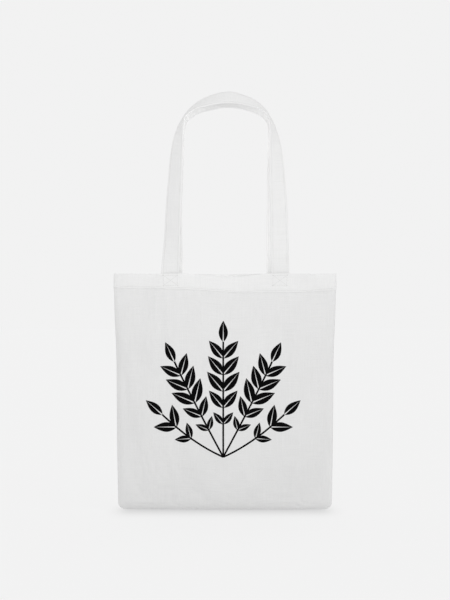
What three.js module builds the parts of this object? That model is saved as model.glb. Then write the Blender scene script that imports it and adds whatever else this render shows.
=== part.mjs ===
// A white cotton tote bag, hanging by its two long handles.
// Millimetres, +Z up, +X to the right, and the front of the bag faces -Y.
// The origin is the point under the crest of both handles where a hook or a hand holds the bag.

import * as THREE from "three";

// Driving dimensions
const BODY_HEIGHT = 404; // mouth edge to bottom seam
const HANDLE_RISE = 300; // mouth edge to the middle of a handle at its crest
const HANDLE_WIDTH = 31;
const HANDLE_THICKNESS = 2; // cotton folded to four layers
const HANDLE_EDGE = 1; // width of the thinner fold along each edge of a handle
const HANDLE_EDGE_SHARE = 0.5; // share of the thickness that is left at the very edge
const HANDLE_SEWN_LENGTH = 24; // end of a handle that lies behind the hem
const CLOTH = 1; // wall of one layer of cloth
const HEM_DEPTH = 26; // band of cloth turned in at the mouth
const HEM_STEP = 0.5; // how far the turned band stands out from each face of the wall
const HEM_ROLL = 0.7; // rounding of the folded mouth edge
const CORNER_RADIUS = 11; // bottom corners, seen from the front
const BOTTOM_TURN = 14; // height over which the belly turns in to the bottom seam
const SEAM_GAP = 0.15; // each panel stops this far from the seam plane
const SEWN_GAP = 0.4; // clear distance between a handle's end and the hem that carries it
const CROWN_POWER = 2.4; // 2 is an ellipse from seam to seam, more is flatter in the middle
const BACK_HANDLE_INSET = 6.5; // the back handle's feet stand this much nearer to the middle
const COTTON_WHITE = 0xf0f0ee;
const COTTON_ROUGHNESS = 0.92;

// How finely the cloth is faceted
const PANEL_COLUMNS = 36;
const EDGE_CROWDING = 0.55; // share of the columns' spacing that crowds towards the side seams
const HEM_ROWS = 3;
const WALL_ROWS = 15;
const TURN_ROWS = 5;
const STEPS_PER_HANDLE_SECTION = 4;

// The pouch from the mouth down: distance below the mouth edge, half the width between the side seams,
// and how far the front and the back belly out from the seam plane.
const BODY_SECTIONS = [
  { down: 0, halfWidth: 190.0, front: 14, back: 12.5 },
  { down: 28, halfWidth: 190.4, front: 15, back: 13.5 },
  { down: 72, halfWidth: 189.4, front: 18, back: 17 },
  { down: 113, halfWidth: 187.4, front: 20.5, back: 20 },
  { down: 140, halfWidth: 186.3, front: 22, back: 21.5 },
  { down: 216, halfWidth: 185.8, front: 24, back: 24 },
  { down: 300, halfWidth: 185.0, front: 23, back: 23.5 },
  { down: 350, halfWidth: 184.2, front: 19, back: 20 },
  { down: 404, halfWidth: 183.4, front: 12, back: 13 },
];

// The mouth edge hangs down between the handles: how far, and where it is lowest.
const MOUTH_SAG = {
  front: { depth: 6, lowest: 20, fade: 150 },
  back: { depth: 1.5, lowest: -15, fade: 120 },
};

// Soft folds that run down the cloth: start and end below the mouth edge, place across at the start,
// sideways drift on the way down, half width, and height (a dent is negative).
const FOLDS = {
  front: [
    { from: -20, to: 118, across: -146, drift: 5, width: 13, height: -1.8 },
    { from: -10, to: 165, across: -116, drift: -16, width: 15, height: 1.5 },
    { from: -25, to: 140, across: -66, drift: 14, width: 17, height: -1.7 },
    { from: -30, to: 190, across: 26, drift: -8, width: 24, height: 1.6 },
    { from: -25, to: 150, across: 70, drift: -12, width: 16, height: -1.8 },
    { from: -10, to: 175, across: 118, drift: 17, width: 15, height: 1.5 },
    { from: 215, to: 420, across: -158, drift: 12, width: 17, height: -1.9 },
    { from: 230, to: 420, across: 156, drift: -10, width: 16, height: -1.9 },
  ],
  back: [
    { from: -20, to: 130, across: -132, drift: -8, width: 15, height: 1.6 },
    { from: -25, to: 160, across: -60, drift: 12, width: 17, height: -1.7 },
    { from: -30, to: 200, across: 8, drift: 10, width: 26, height: 1.5 },
    { from: -25, to: 140, across: 64, drift: -10, width: 16, height: -1.7 },
    { from: -20, to: 150, across: 136, drift: 10, width: 15, height: -1.6 },
    { from: 220, to: 420, across: -154, drift: 14, width: 17, height: -1.8 },
    { from: 210, to: 420, across: 160, drift: -12, width: 16, height: -1.9 },
  ],
};

// A handle's middle line from the mouth edge up to its crest: height, distance out from the seam plane,
// and for each leg its place across and how far its face is turned from the front (in degrees).
const HANDLE_SECTIONS = [
  { rise: 58, out: 10.6, left: { across: -90.2, turn: 26 }, right: { across: 93.2, turn: 9 } },
  { rise: 118, out: 12.4, left: { across: -87.8, turn: 32 }, right: { across: 91.6, turn: 20 } },
  { rise: 162, out: 13.8, left: { across: -85.0, turn: 38 }, right: { across: 89.4, turn: 30 } },
  { rise: 212, out: 15.4, left: { across: -81.6, turn: 48 }, right: { across: 86.2, turn: 46 } },
  { rise: 248, out: 16.6, left: { across: -76.0, turn: 68 }, right: { across: 81.2, turn: 68 } },
  { rise: 266, out: 16.8, left: { across: -69.0, turn: 79 }, right: { across: 75.4, turn: 79 } },
  { rise: 281, out: 16.0, left: { across: -54.0, turn: 69 }, right: { across: 62.4, turn: 69 } },
  { rise: 293, out: 14.0, left: { across: -29.0, turn: 52 }, right: { across: 39.0, turn: 52 } },
];
const CREST = { across: 5, out: 12.4, turn: 42 };
const FOOT = { left: -93.6, right: 94.2, turn: 2 };
const BACK_JOINS = { left: 100, right: HANDLE_RISE }; // where the back legs stand right behind the front

// Places that follow from the dimensions
const crestTurn = THREE.MathUtils.degToRad(CREST.turn);
const crestHeight = (HANDLE_WIDTH * Math.cos(crestTurn) + HANDLE_THICKNESS * Math.sin(crestTurn)) / 2;
const mouthHeight = crestHeight - HANDLE_RISE;
const handleInnerEdge = FOOT.right - HANDLE_WIDTH / 2;

// A column of the body's sections, followed smoothly at any distance below the mouth edge.
function sectionValue(column, down) {
  const last = BODY_SECTIONS.length - 1;
  const found = BODY_SECTIONS.findIndex((section) => section.down > down);
  const lower = found < 0 ? last : Math.max(found, 1);
  const near = BODY_SECTIONS[lower - 1];
  const far = BODY_SECTIONS[lower];
  const before = BODY_SECTIONS[Math.max(lower - 2, 0)];
  const after = BODY_SECTIONS[Math.min(lower + 1, last)];
  const span = far.down - near.down;
  const share = THREE.MathUtils.clamp((down - near.down) / span, 0, 1);
  const slopeNear = (span * (far[column] - before[column])) / (far.down - before.down);
  const slopeFar = (span * (after[column] - near[column])) / (after.down - near.down);
  const bend = near[column] - far[column];
  const cubic = 2 * bend + slopeNear + slopeFar;
  const square = -3 * bend - 2 * slopeNear - slopeFar;
  return near[column] + share * (slopeNear + share * (square + share * cubic));
}

// How far the mouth edge and the cloth under it hang down at one place across.
function sagAt(panel, across, down) {
  const { depth, lowest, fade } = MOUTH_SAG[panel];
  const reach = across < lowest ? lowest + handleInnerEdge : handleInnerEdge - lowest;
  const share = Math.min(Math.abs(across - lowest) / reach, 1);
  const left = Math.max(1 - down / fade, 0);
  return depth * Math.cos((share * Math.PI) / 2) ** 2 * left * left;
}

// The stitched ends of the handles hold the hem flat: 0 there, and 1 well away from them.
function freeOfHandles(across, down) {
  const aside = Math.min(Math.abs(across - FOOT.left), Math.abs(across - FOOT.right));
  const held = HANDLE_WIDTH / 2 + BACK_HANDLE_INSET;
  const beside = THREE.MathUtils.smoothstep(aside, held, held + HANDLE_WIDTH / 2);
  const below = THREE.MathUtils.smoothstep(down, HEM_DEPTH, 2 * HEM_DEPTH);
  return Math.max(beside, below);
}

// The height of all folds at one place on a panel.
function foldAt(panel, across, down) {
  let height = 0;
  for (const fold of FOLDS[panel]) {
    const run = THREE.MathUtils.clamp((down - fold.from) / (fold.to - fold.from), 0, 1);
    const aside = (across - fold.across - fold.drift * run) / fold.width;
    height += fold.height * Math.sin(run * Math.PI) ** 2 * Math.exp(-aside * aside);
  }
  return height * freeOfHandles(across, down);
}

// A point of the pouch, pulled in from its outer face by an inset. The share runs from -1 at the left
// side seam to 1 at the right one. Both faces end in the seam plane at the sides and at the bottom.
function pouchPoint(panel, share, fromMouth, inset) {
  const down = (fromMouth * (BODY_HEIGHT - inset)) / BODY_HEIGHT;
  const halfWidth = sectionValue("halfWidth", down);
  const depth = sectionValue(panel, down);
  const corner = CORNER_RADIUS - inset;
  const inCorner = Math.max(down - (BODY_HEIGHT - CORNER_RADIUS), 0);
  const cornerCut = corner - Math.sqrt(Math.max(corner * corner - inCorner * inCorner, 0));
  const inTurn = Math.max(down - (BODY_HEIGHT - BOTTOM_TURN), 0) / (BOTTOM_TURN - inset);
  const closing = Math.sqrt(Math.max(1 - inTurn * inTurn, 0));
  const crown = Math.sqrt(1 - Math.abs(share) ** CROWN_POWER);
  const slope = ((CROWN_POWER / 2) * Math.abs(share) ** (CROWN_POWER - 1) * depth) / halfWidth;
  const normal = new THREE.Vector2(Math.sign(share) * slope, crown).normalize();
  const across = share * (halfWidth - cornerCut) - inset * normal.x;
  const belly = (depth + foldAt(panel, across, down)) * crown - inset * normal.y;
  const outward = panel === "front" ? -1 : 1;
  const height = mouthHeight - down - sagAt(panel, across, down);
  return new THREE.Vector3(across, outward * (SEAM_GAP + belly * closing), height);
}

// A closed wall between two faces that share one grid of columns and rows.
function wallBetween(outerFace, innerFace, columns, rows) {
  const points = [];
  for (const face of [outerFace, innerFace]) {
    for (let row = 0; row <= rows; row += 1) {
      for (let column = 0; column <= columns; column += 1) {
        points.push(face(column, row));
      }
    }
  }
  const across = columns + 1;
  const innerStart = across * (rows + 1);
  const at = (column, row) => row * across + column;
  const triangles = [];
  const addQuad = (a, b, c, d) => triangles.push(a, b, c, a, c, d);
  for (let row = 0; row < rows; row += 1) {
    for (let column = 0; column < columns; column += 1) {
      const quad = [at(column, row), at(column + 1, row), at(column + 1, row + 1), at(column, row + 1)];
      addQuad(...quad);
      addQuad(...quad.reverse().map((index) => index + innerStart));
    }
  }
  const addRim = (from, to) => addQuad(to, from, from + innerStart, to + innerStart);
  for (let column = 0; column < columns; column += 1) {
    addRim(at(column, 0), at(column + 1, 0));
    addRim(at(column + 1, rows), at(column, rows));
  }
  for (let row = 0; row < rows; row += 1) {
    addRim(at(columns, row), at(columns, row + 1));
    addRim(at(0, row + 1), at(0, row));
  }
  const geometry = new THREE.BufferGeometry().setFromPoints(points);
  geometry.setIndex(triangles);
  geometry.computeVertexNormals();
  return geometry;
}

// Turns every triangle of a geometry round, so that its faces point out.
function turnedOver(geometry) {
  geometry.setIndex(Array.from(geometry.index.array).reverse());
  geometry.computeVertexNormals();
  return geometry;
}

// Distances below the mouth edge of a panel's rows: close together at the hem and in the bottom turn.
function panelRows() {
  const rows = [0];
  for (let row = 0; row < HEM_ROWS; row += 1) {
    rows.push(HEM_ROLL + ((HEM_DEPTH - HEM_ROLL) * row) / (HEM_ROWS - 1));
  }
  const wallTop = HEM_DEPTH + HEM_STEP;
  const wallEnd = BODY_HEIGHT - BOTTOM_TURN;
  for (let row = 0; row <= WALL_ROWS; row += 1) {
    rows.push(wallTop + ((wallEnd - wallTop) * row) / WALL_ROWS);
  }
  for (let row = 1; row <= TURN_ROWS; row += 1) {
    rows.push(wallEnd + BOTTOM_TURN * Math.sin((row / TURN_ROWS) * (Math.PI / 2)));
  }
  return rows;
}

// Shares of the half width where a panel's columns stand, crowded towards the seams.
function panelColumns() {
  const columns = [];
  for (let column = 0; column <= PANEL_COLUMNS; column += 1) {
    const even = (2 * column) / PANEL_COLUMNS - 1;
    const crowded = Math.sin((even * Math.PI) / 2);
    columns.push(THREE.MathUtils.lerp(even, crowded, EDGE_CROWDING));
  }
  return columns;
}

// One cloth panel: a single wall, thicker where the mouth is turned in, with a rounded folded edge.
function panelGeometry(panel) {
  const rows = panelRows();
  const columns = panelColumns();
  const standOut = (row) => (rows[row] <= HEM_DEPTH ? HEM_STEP : 0);
  const roll = (row) => (row === 0 ? HEM_ROLL : 0);
  const outer = (column, row) => pouchPoint(panel, columns[column], rows[row], roll(row) - standOut(row));
  const inner = (column, row) => {
    const inset = CLOTH + standOut(row) - roll(row);
    return pouchPoint(panel, columns[column], rows[row], inset);
  };
  const geometry = wallBetween(outer, inner, PANEL_COLUMNS, rows.length - 1);
  return panel === "front" ? turnedOver(geometry) : geometry;
}

// The middle of a handle's sewn end, lying flat on the hem's inner face at one distance below the mouth.
function sewnPoint(panel, across, fromMouth) {
  const share = across / sectionValue("halfWidth", fromMouth);
  const hem = pouchPoint(panel, share, fromMouth, CLOTH + HEM_STEP);
  const inward = -Math.sign(hem.y);
  hem.y += inward * (SEWN_GAP + HANDLE_THICKNESS / 2);
  hem.z = mouthHeight - fromMouth;
  return hem;
}

// One leg of a handle from its sewn end up: points of its middle line, each with its turn.
function handleLeg(panel, leg, inset) {
  const outward = panel === "front" ? -1 : 1;
  const towardsMiddle = leg === "left" ? inset : -inset;
  const foot = FOOT[leg] + towardsMiddle;
  const stations = [HANDLE_SEWN_LENGTH, HANDLE_SEWN_LENGTH / 2, 0].map((fromMouth) => {
    return { point: sewnPoint(panel, foot, fromMouth), turn: FOOT.turn };
  });
  for (const section of HANDLE_SECTIONS) {
    const { across, turn } = section[leg];
    const apart = 1 - THREE.MathUtils.smoothstep(section.rise, 0, BACK_JOINS[leg]);
    const place = across + towardsMiddle * apart;
    const point = new THREE.Vector3(place, outward * section.out, mouthHeight + section.rise);
    stations.push({ point, turn });
  }
  return stations;
}

// A handle: a flat folded strap swept along its middle line, facing out at the feet and up at the crest.
function handleGeometry(panel, inset) {
  const outward = panel === "front" ? -1 : 1;
  const crestPoint = new THREE.Vector3(CREST.across, outward * CREST.out, crestHeight);
  const crest = { point: crestPoint, turn: CREST.turn };
  const rightLeg = handleLeg(panel, "right", inset).reverse();
  const stations = [...handleLeg(panel, "left", inset), crest, ...rightLeg];
  const middleLine = new THREE.CatmullRomCurve3(stations.map((station) => station.point));
  const turns = new THREE.CatmullRomCurve3(stations.map(({ turn }) => new THREE.Vector3(turn, 0, 0)));
  const rows = STEPS_PER_HANDLE_SECTION * (stations.length - 1);
  const halfWidth = HANDLE_WIDTH / 2;
  const flatHalf = halfWidth - HANDLE_EDGE;
  const columns = [-halfWidth, -flatHalf, 0, flatHalf, halfWidth];
  const frontward = new THREE.Vector3(0, outward, 0);

  const strapPoint = (column, row, face) => {
    const share = row / rows;
    const along = middleLine.getTangent(share);
    const turn = THREE.MathUtils.degToRad(turns.getPoint(share).x);
    const upward = new THREE.Vector3(-along.z, 0, along.x).normalize();
    const facing = frontward.clone().multiplyScalar(Math.cos(turn)).addScaledVector(upward, Math.sin(turn));
    const across = new THREE.Vector3().crossVectors(along, facing).normalize();
    facing.crossVectors(across, along);
    const thickness = HANDLE_THICKNESS * (Math.abs(columns[column]) < halfWidth ? 1 : HANDLE_EDGE_SHARE);
    return middleLine
      .getPoint(share)
      .addScaledVector(across, columns[column])
      .addScaledVector(facing, (face * thickness) / 2);
  };
  const outer = (column, row) => strapPoint(column, row, 1);
  const inner = (column, row) => strapPoint(column, row, -1);
  return wallBetween(outer, inner, columns.length - 1, rows);
}

function clothMesh(name, geometry) {
  const material = new THREE.MeshStandardMaterial({
    color: COTTON_WHITE,
    roughness: COTTON_ROUGHNESS,
    metalness: 0,
  });
  const mesh = new THREE.Mesh(geometry, material);
  mesh.name = name;
  return mesh;
}

const toteBag = new THREE.Group();
toteBag.name = "tote_bag";
toteBag.add(clothMesh("front_panel", panelGeometry("front")));
toteBag.add(clothMesh("back_panel", panelGeometry("back")));
toteBag.add(clothMesh("front_handle", handleGeometry("front", 0)));
toteBag.add(clothMesh("back_handle", handleGeometry("back", BACK_HANDLE_INSET)));

export default toteBag;
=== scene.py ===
# %% [markdown]
# # A white cotton tote bag
#
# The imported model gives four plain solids: a front and a back panel, and two long handles. This lesson
# dresses them as a sewn cotton bag: draped cloth with a stitched hem, folded straps with topstitching,
# and a film of printed ink. All sizes are in metres, and the places come from the solids.

# %% Load the solids as a fixed frame
import math

import bmesh
import bpy
import numpy as np
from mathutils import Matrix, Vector
from mathutils.bvhtree import BVHTree


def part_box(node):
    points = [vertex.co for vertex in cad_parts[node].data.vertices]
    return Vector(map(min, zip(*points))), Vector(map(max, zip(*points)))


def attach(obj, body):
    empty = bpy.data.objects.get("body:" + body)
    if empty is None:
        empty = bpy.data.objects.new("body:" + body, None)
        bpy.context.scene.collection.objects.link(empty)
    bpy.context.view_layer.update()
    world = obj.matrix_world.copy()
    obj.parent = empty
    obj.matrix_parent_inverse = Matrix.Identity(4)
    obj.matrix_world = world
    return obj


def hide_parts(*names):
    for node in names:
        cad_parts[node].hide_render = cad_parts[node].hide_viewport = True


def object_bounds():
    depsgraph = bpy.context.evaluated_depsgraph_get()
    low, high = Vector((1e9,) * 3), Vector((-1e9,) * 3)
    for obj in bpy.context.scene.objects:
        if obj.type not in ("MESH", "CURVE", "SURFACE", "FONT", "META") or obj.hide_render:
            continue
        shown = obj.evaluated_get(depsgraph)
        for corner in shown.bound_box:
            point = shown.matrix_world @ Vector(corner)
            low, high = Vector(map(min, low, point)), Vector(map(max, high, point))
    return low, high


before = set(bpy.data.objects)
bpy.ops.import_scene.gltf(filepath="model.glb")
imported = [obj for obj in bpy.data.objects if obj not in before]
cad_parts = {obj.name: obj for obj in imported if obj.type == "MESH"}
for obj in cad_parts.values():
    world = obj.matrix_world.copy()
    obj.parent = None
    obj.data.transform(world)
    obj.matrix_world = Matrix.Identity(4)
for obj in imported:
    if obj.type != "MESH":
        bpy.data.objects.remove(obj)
cad_low, cad_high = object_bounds()
print("solids", sorted(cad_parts), "from", tuple(cad_low), "to", tuple(cad_high))

# %% [markdown]
# ## The view
#
# The bag was photographed level from the front. A camera could be placed by eye, but two known lengths
# settle it: the mouth is 380 mm wide on the bag and 221.5 pixels wide in the picture. At a chosen
# distance that gives the lens, and the mouth's row in the picture gives the camera's height.

# %% Place the camera
PICTURE_HEIGHT = 600  # pixels, the long side of the picture
MOUTH_PIXELS = 221.5  # width of the mouth in the picture
MOUTH_ROW = 273.5  # row of the mouth edge in the picture
MOUTH_WIDTH = 0.380
CAMERA_DISTANCE = 1.9
SENSOR = 36.0  # millimetres, along the long side

metres_per_pixel = MOUTH_WIDTH / MOUTH_PIXELS
mouth_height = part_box("front_panel")[1].z
camera_data = bpy.data.cameras.new("camera")
camera_data.sensor_width = SENSOR
camera_data.lens = SENSOR * CAMERA_DISTANCE / (PICTURE_HEIGHT * metres_per_pixel)
camera = bpy.data.objects.new("camera", camera_data)
camera_height = mouth_height - (PICTURE_HEIGHT / 2 - MOUTH_ROW) * metres_per_pixel
camera.location = (0, -CAMERA_DISTANCE, camera_height)
camera.rotation_euler = (math.radians(90), 0, 0)
bpy.context.scene.collection.objects.link(camera)
bpy.context.scene.camera = camera
print("camera", round(camera_data.lens, 2), "mm lens at height", round(camera_height, 4))

# %% [markdown]
# ## Reading the panels
#
# Each panel of the real bag is one piece of cloth from the hem to the bottom seam. Its solid has the
# right form, but it is faceted and has no rows to drape. So rays are cast at the solid from outside, row
# by row below the mouth edge, and the hits become an even grid of points. The rows follow the sag of the
# mouth and close up where the belly turns in to the bottom seam.

# %% Read a solid's corners and faces
def read_solid(node):
    """A node's corners as an array, and a tree of its faces for casting rays at it."""
    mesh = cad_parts[node].data
    corners = np.array([vertex.co[:] for vertex in mesh.vertices])
    faces = [tuple(face.vertices) for face in mesh.polygons]
    return corners, BVHTree.FromPolygons(corners.tolist(), faces)


for node in sorted(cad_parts):
    print(node, "has", len(read_solid(node)[0]), "corners")

# %% Set out the rows and columns of a panel
SIDES = {"front": -1, "back": 1}  # which way each panel faces along Y
COLUMNS = 57
WALL_ROWS = 50
TURN_ROWS = 7
EDGE_CROWDING = 0.55  # how far the columns crowd towards the side seams
BOTTOM_TURN = 0.014  # height over which the belly turns in to the bottom seam
BELOW_EDGE = 0.0016  # the first row lies just under the rounded mouth edge

panel_height = mouth_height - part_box("front_panel")[0].z
even = np.linspace(-1, 1, COLUMNS)
shares = (1 - EDGE_CROWDING) * even + EDGE_CROWDING * np.sin(even * math.pi / 2)
wall_drops = np.linspace(BELOW_EDGE, panel_height - BOTTOM_TURN, WALL_ROWS, endpoint=False)
turning = np.sin(np.linspace(0, math.pi / 2, TURN_ROWS))
drops = np.concatenate([wall_drops, panel_height - BOTTOM_TURN * (1 - turning)])
print("grid of", len(drops), "rows and", COLUMNS, "columns, panel height", round(panel_height, 4))

# %% Cast rays at a panel
CROWN_POWER = 2.4  # the section from seam to seam: 2 is an ellipse, more is flatter in the middle
LEAST_DEPTH = 0.0004  # keeps the outermost rays off the seam itself
OUTSIDE = 2.0  # rays start this many times further out than the cloth
SAG_FADE = 0.15  # depth below the mouth over which its sag dies away
RIM_BAND = 0.009  # corners this close to the top belong to the mouth edge
RIM_STEP = 0.005
SEAM_GAP = 0.00015  # each panel stops this far from the seam plane
MERGE_DISTANCE = 0.00002


def mouth_sag(corners, across):
    """How far a panel's mouth edge hangs below its highest point, at given places across."""
    top = corners[:, 2].max()
    rim = corners[corners[:, 2] > top - RIM_BAND]
    places = np.round(rim[:, 0] / RIM_STEP)
    heights = [rim[places == place, 2].max() for place in np.unique(places)]
    return top - np.interp(across, np.unique(places) * RIM_STEP, heights)


def hit_from_outside(faces, across, out, height):
    """Where a level ray from outside, through a point of a section towards its middle, meets a solid."""
    start = Vector((across * OUTSIDE, out * OUTSIDE, height))
    return faces.ray_cast(start, Vector((-across, -out, 0)))[0]


def skin_grid(node, facing):
    """The outer skin of a panel as rows and columns of points."""
    corners, faces = read_solid(node)
    low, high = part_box(node)
    sag = mouth_sag(corners, shares * high.x)
    crowns = (1 - np.abs(shares).clip(0, 1) ** CROWN_POWER) ** 0.5
    grid = np.zeros((len(drops), COLUMNS, 3))
    for row, drop in enumerate(drops[:-1]):
        heights = high.z - drop - sag * max(0, 1 - drop / SAG_FADE) ** 2
        half_width = hit_from_outside(faces, high.x, facing * LEAST_DEPTH, heights[-1]).x
        depth = abs(hit_from_outside(faces, 0, facing * high.x, heights[COLUMNS // 2]).y)
        outs = facing * np.maximum(crowns * depth, LEAST_DEPTH)
        for column, place in enumerate(zip(shares * half_width, outs, heights)):
            grid[row, column] = hit_from_outside(faces, *place)
    bottom = corners[corners[:, 2] < low.z + MERGE_DISTANCE]
    grid[-1] = np.stack([shares * bottom[:, 0].max(), 0 * shares, 0 * shares + low.z], axis=1)
    grid[:, [0, -1], 1] = facing * SEAM_GAP
    grid[-1, :, 1] = facing * SEAM_GAP
    return grid


skins = {side: skin_grid(f"{side}_panel", facing) for side, facing in SIDES.items()}
for side, skin in skins.items():
    print(side, "skin spans", np.ptp(skin, axis=(0, 1)).round(4))

# %% [markdown]
# ## Reading the handles
#
# A handle is one long folded strap. Its solid is a tube of flat rings, so the rings can be walked from
# one sewn end to the other over the edges that join them. Each ring gives the strap's middle, the
# direction across it and the way its flat side faces. That is all that a finer strap needs.

# %% Walk along a handle's rings
END_BAND = 0.001  # corners this close to the lowest one belong to a strap's sewn end


def strap_rings(node):
    """The rings of corners along a strap, from its left sewn end over the crest to its right one."""
    tube = bmesh.new()
    tube.from_mesh(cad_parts[node].data)
    bmesh.ops.remove_doubles(tube, verts=tube.verts, dist=MERGE_DISTANCE)
    tube.verts.index_update()
    left = [corner for corner in tube.verts if corner.co.x < 0]
    lowest = min(corner.co.z for corner in left)
    ring = {corner for corner in left if corner.co.z < lowest + END_BAND}
    rings, passed = [], set()
    while ring:
        rings.append(np.array([corner.co[:] for corner in sorted(ring, key=lambda c: c.index)]))
        passed |= ring
        ring = {edge.other_vert(corner) for corner in ring for edge in corner.link_edges} - passed
    tube.free()
    return rings


def unit(vectors):
    """The same directions at length one."""
    return vectors / np.linalg.norm(vectors, axis=-1, keepdims=True)


def strap_frames(rings):
    """The middle of each ring, the direction across the strap, and the way its flat side faces."""
    middles = np.array([ring.mean(axis=0) for ring in rings])
    across = np.array([np.linalg.svd(ring - ring.mean(axis=0))[2][0] for ring in rings])
    across[0] *= np.sign(across[0, 0])
    for here, before in zip(across[1:], across):
        here *= np.sign(here @ before)
    along = unit(np.gradient(middles, axis=0))
    flat = unit(np.cross(across, along))
    return middles, unit(np.cross(along, flat)), flat


handle_frames = {side: strap_frames(strap_rings(f"{side}_handle")) for side in SIDES}
feet = {side: frames[0][[0, -1], 0] for side, frames in handle_frames.items()}
for side, frames in handle_frames.items():
    print(side, "handle has", len(frames[0]), "rings, feet at", feet[side].round(4))

# %% [markdown]
# ## Draping the panels
#
# Cotton hangs in shallow folds that no table of numbers gives well, so a short cloth simulation makes
# them. The two skins are joined along the seams into one pouch. It is told that its cloth is a little
# wider than it looks, held at the seams and under the handles, and left to settle. A point may move only
# a few millimetres, so the bag keeps the form of its solids.

# %% Even out the facets
FACET_ROUNDS = 8


def even_out(skin):
    """Smooths a skin's depth in place, so that the facets of its solid don't show as creases."""
    depth = skin[:, :, 1]
    for _ in range(FACET_ROUNDS):
        depth[0, 1:-1] = (depth[0, :-2] + 2 * depth[0, 1:-1] + depth[0, 2:]) / 4
        around = depth[:-2, 1:-1] + depth[2:, 1:-1] + depth[1:-1, :-2] + depth[1:-1, 2:]
        depth[1:-1, 1:-1] = (4 * depth[1:-1, 1:-1] + around) / 8


for skin in skins.values():
    even_out(skin)
print("belly depth", {side: round(float(np.abs(skin[:, :, 1]).max()), 4) for side, skin in skins.items()})


# %% Join the skins into a pouch
def quads(numbers):
    """The faces of a sheet from its grid of vertex numbers. Rows run down and columns to the right."""
    corners = numbers[:-1, :-1], numbers[1:, :-1], numbers[1:, 1:], numbers[:-1, 1:]
    return np.stack([corner.ravel() for corner in corners], axis=1).tolist()


def new_object(name, points, faces, edges=()):
    """A mesh object in the scene, with its place in its mesh."""
    mesh = bpy.data.meshes.new(name)
    mesh.from_pydata(np.asarray(points).tolist(), list(edges), list(faces))
    mesh.update()
    piece = bpy.data.objects.new(name, mesh)
    bpy.context.scene.collection.objects.link(piece)
    return piece


rows = len(drops)
free_part = (slice(0, -1), slice(1, -1))  # the part of the back skin that isn't on a seam
numbers = {"front": np.arange(rows * COLUMNS).reshape(rows, COLUMNS)}
numbers["back"] = numbers["front"].copy()
back_shape = numbers["back"][free_part].shape
numbers["back"][free_part] = rows * COLUMNS + np.arange(np.prod(back_shape)).reshape(back_shape)
flat_points = np.concatenate([skins["front"].reshape(-1, 3), skins["back"][free_part].reshape(-1, 3)])
pouch_faces = quads(numbers["front"]) + quads(numbers["back"][:, ::-1])
print("pouch of", len(flat_points), "points and", len(pouch_faces), "faces")

# %% Let the pouch settle
SLACK = np.array([1.004, 1.0, 1.001])  # the cloth is this many times larger than it is drawn
HELD_WIDTH = 0.013  # half of the mouth that each handle holds
HELD_DROP = 0.026  # how far down from the mouth edge
SETTLE_FRAMES = 30
MOST_MOVE = 0.005  # how far a point may leave its place on the solid


def held_weights():
    """How firmly each point of the pouch is held: at the seams, and at the mouth under the handles."""
    held = np.zeros(len(flat_points))
    for side in SIDES:
        grid = numbers[side]
        held[np.concatenate([grid[:, 0], grid[:, -1], grid[-1]])] = 1
        for foot in feet[side]:
            near = (np.abs(shares * MOUTH_WIDTH / 2 - foot) < HELD_WIDTH)[None, :]
            held[grid[near & (drops < HELD_DROP)[:, None]]] = 1
    return held


def settle():
    """The pouch's points after the cloth has settled."""
    pouch = new_object("pouch", flat_points, pouch_faces)
    group = pouch.vertex_groups.new(name="held")
    group.add(np.flatnonzero(held_weights()).tolist(), 1, "REPLACE")
    pouch.shape_key_add(name="drawn")
    cut = pouch.shape_key_add(name="cut")
    middle = np.array([0, 0, mouth_height])
    cut.data.foreach_set("co", ((flat_points - middle) * SLACK + middle).ravel())
    cloth = pouch.modifiers.new("cloth", "CLOTH")
    cloth.settings.quality = 8
    cloth.settings.mass = 0.02
    cloth.settings.tension_stiffness = 30
    cloth.settings.compression_stiffness = 30
    cloth.settings.shear_stiffness = 12
    cloth.settings.bending_stiffness = 0.6
    cloth.settings.air_damping = 4
    cloth.settings.vertex_group_mass = "held"
    cloth.settings.rest_shape_key = cut
    cloth.collision_settings.use_collision = False
    cloth.point_cache.frame_end = SETTLE_FRAMES
    for step in range(1, SETTLE_FRAMES + 1):
        bpy.context.scene.frame_set(step)
    settled = pouch.evaluated_get(bpy.context.evaluated_depsgraph_get()).data
    points = np.array([vertex.co[:] for vertex in settled.vertices])
    bpy.context.scene.frame_set(1)
    bpy.data.objects.remove(pouch)
    return points


moves = settle() - flat_points
lengths = np.linalg.norm(moves, axis=1, keepdims=True)
moves *= MOST_MOVE * np.tanh(lengths / MOST_MOVE) / np.maximum(lengths, MERGE_DISTANCE)
for side, skin in skins.items():
    skin[free_part] += moves[numbers[side]][free_part]
print("the cloth moved up to", (1000 * lengths.max()).round(2), "mm, held to", 1000 * MOST_MOVE)

# %% [markdown]
# ## The fine sheets
#
# The draped grid has a point every 8 mm, which is enough for folds and too coarse for sewing. A cubic
# curve through the points gives three times as many rows and columns without moving the folds. On that
# finer sheet the needle leaves its marks: the seam allowance inside shows as a low ridge along the
# seams, and the thread draws the cloth into small puckers along the seams and the hem.

# %% Refine a grid along smooth curves
TIMES_FINER = 3


def finer_rows(values):
    """More rows between the given ones, on a Catmull-Rom curve through them."""
    ends = 2 * values[:1] - values[1:2], 2 * values[-1:] - values[-2:-1]
    padded = np.concatenate([ends[0], values, ends[1]])
    places = np.linspace(0, len(values) - 1, (len(values) - 1) * TIMES_FINER + 1)
    first = np.minimum(places.astype(int), len(values) - 2)
    t = (places - first).reshape(-1, *[1] * (values.ndim - 1))
    a, b, c, d = (padded[first + step] for step in range(4))
    return b + t * (c - a + t * (2 * a - 5 * b + 4 * c - d + t * (3 * b - a - 3 * c + d))) / 2


def finer(grid):
    """A finer sheet: more rows, and then more columns."""
    return finer_rows(finer_rows(grid).swapaxes(0, 1)).swapaxes(0, 1)


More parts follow.
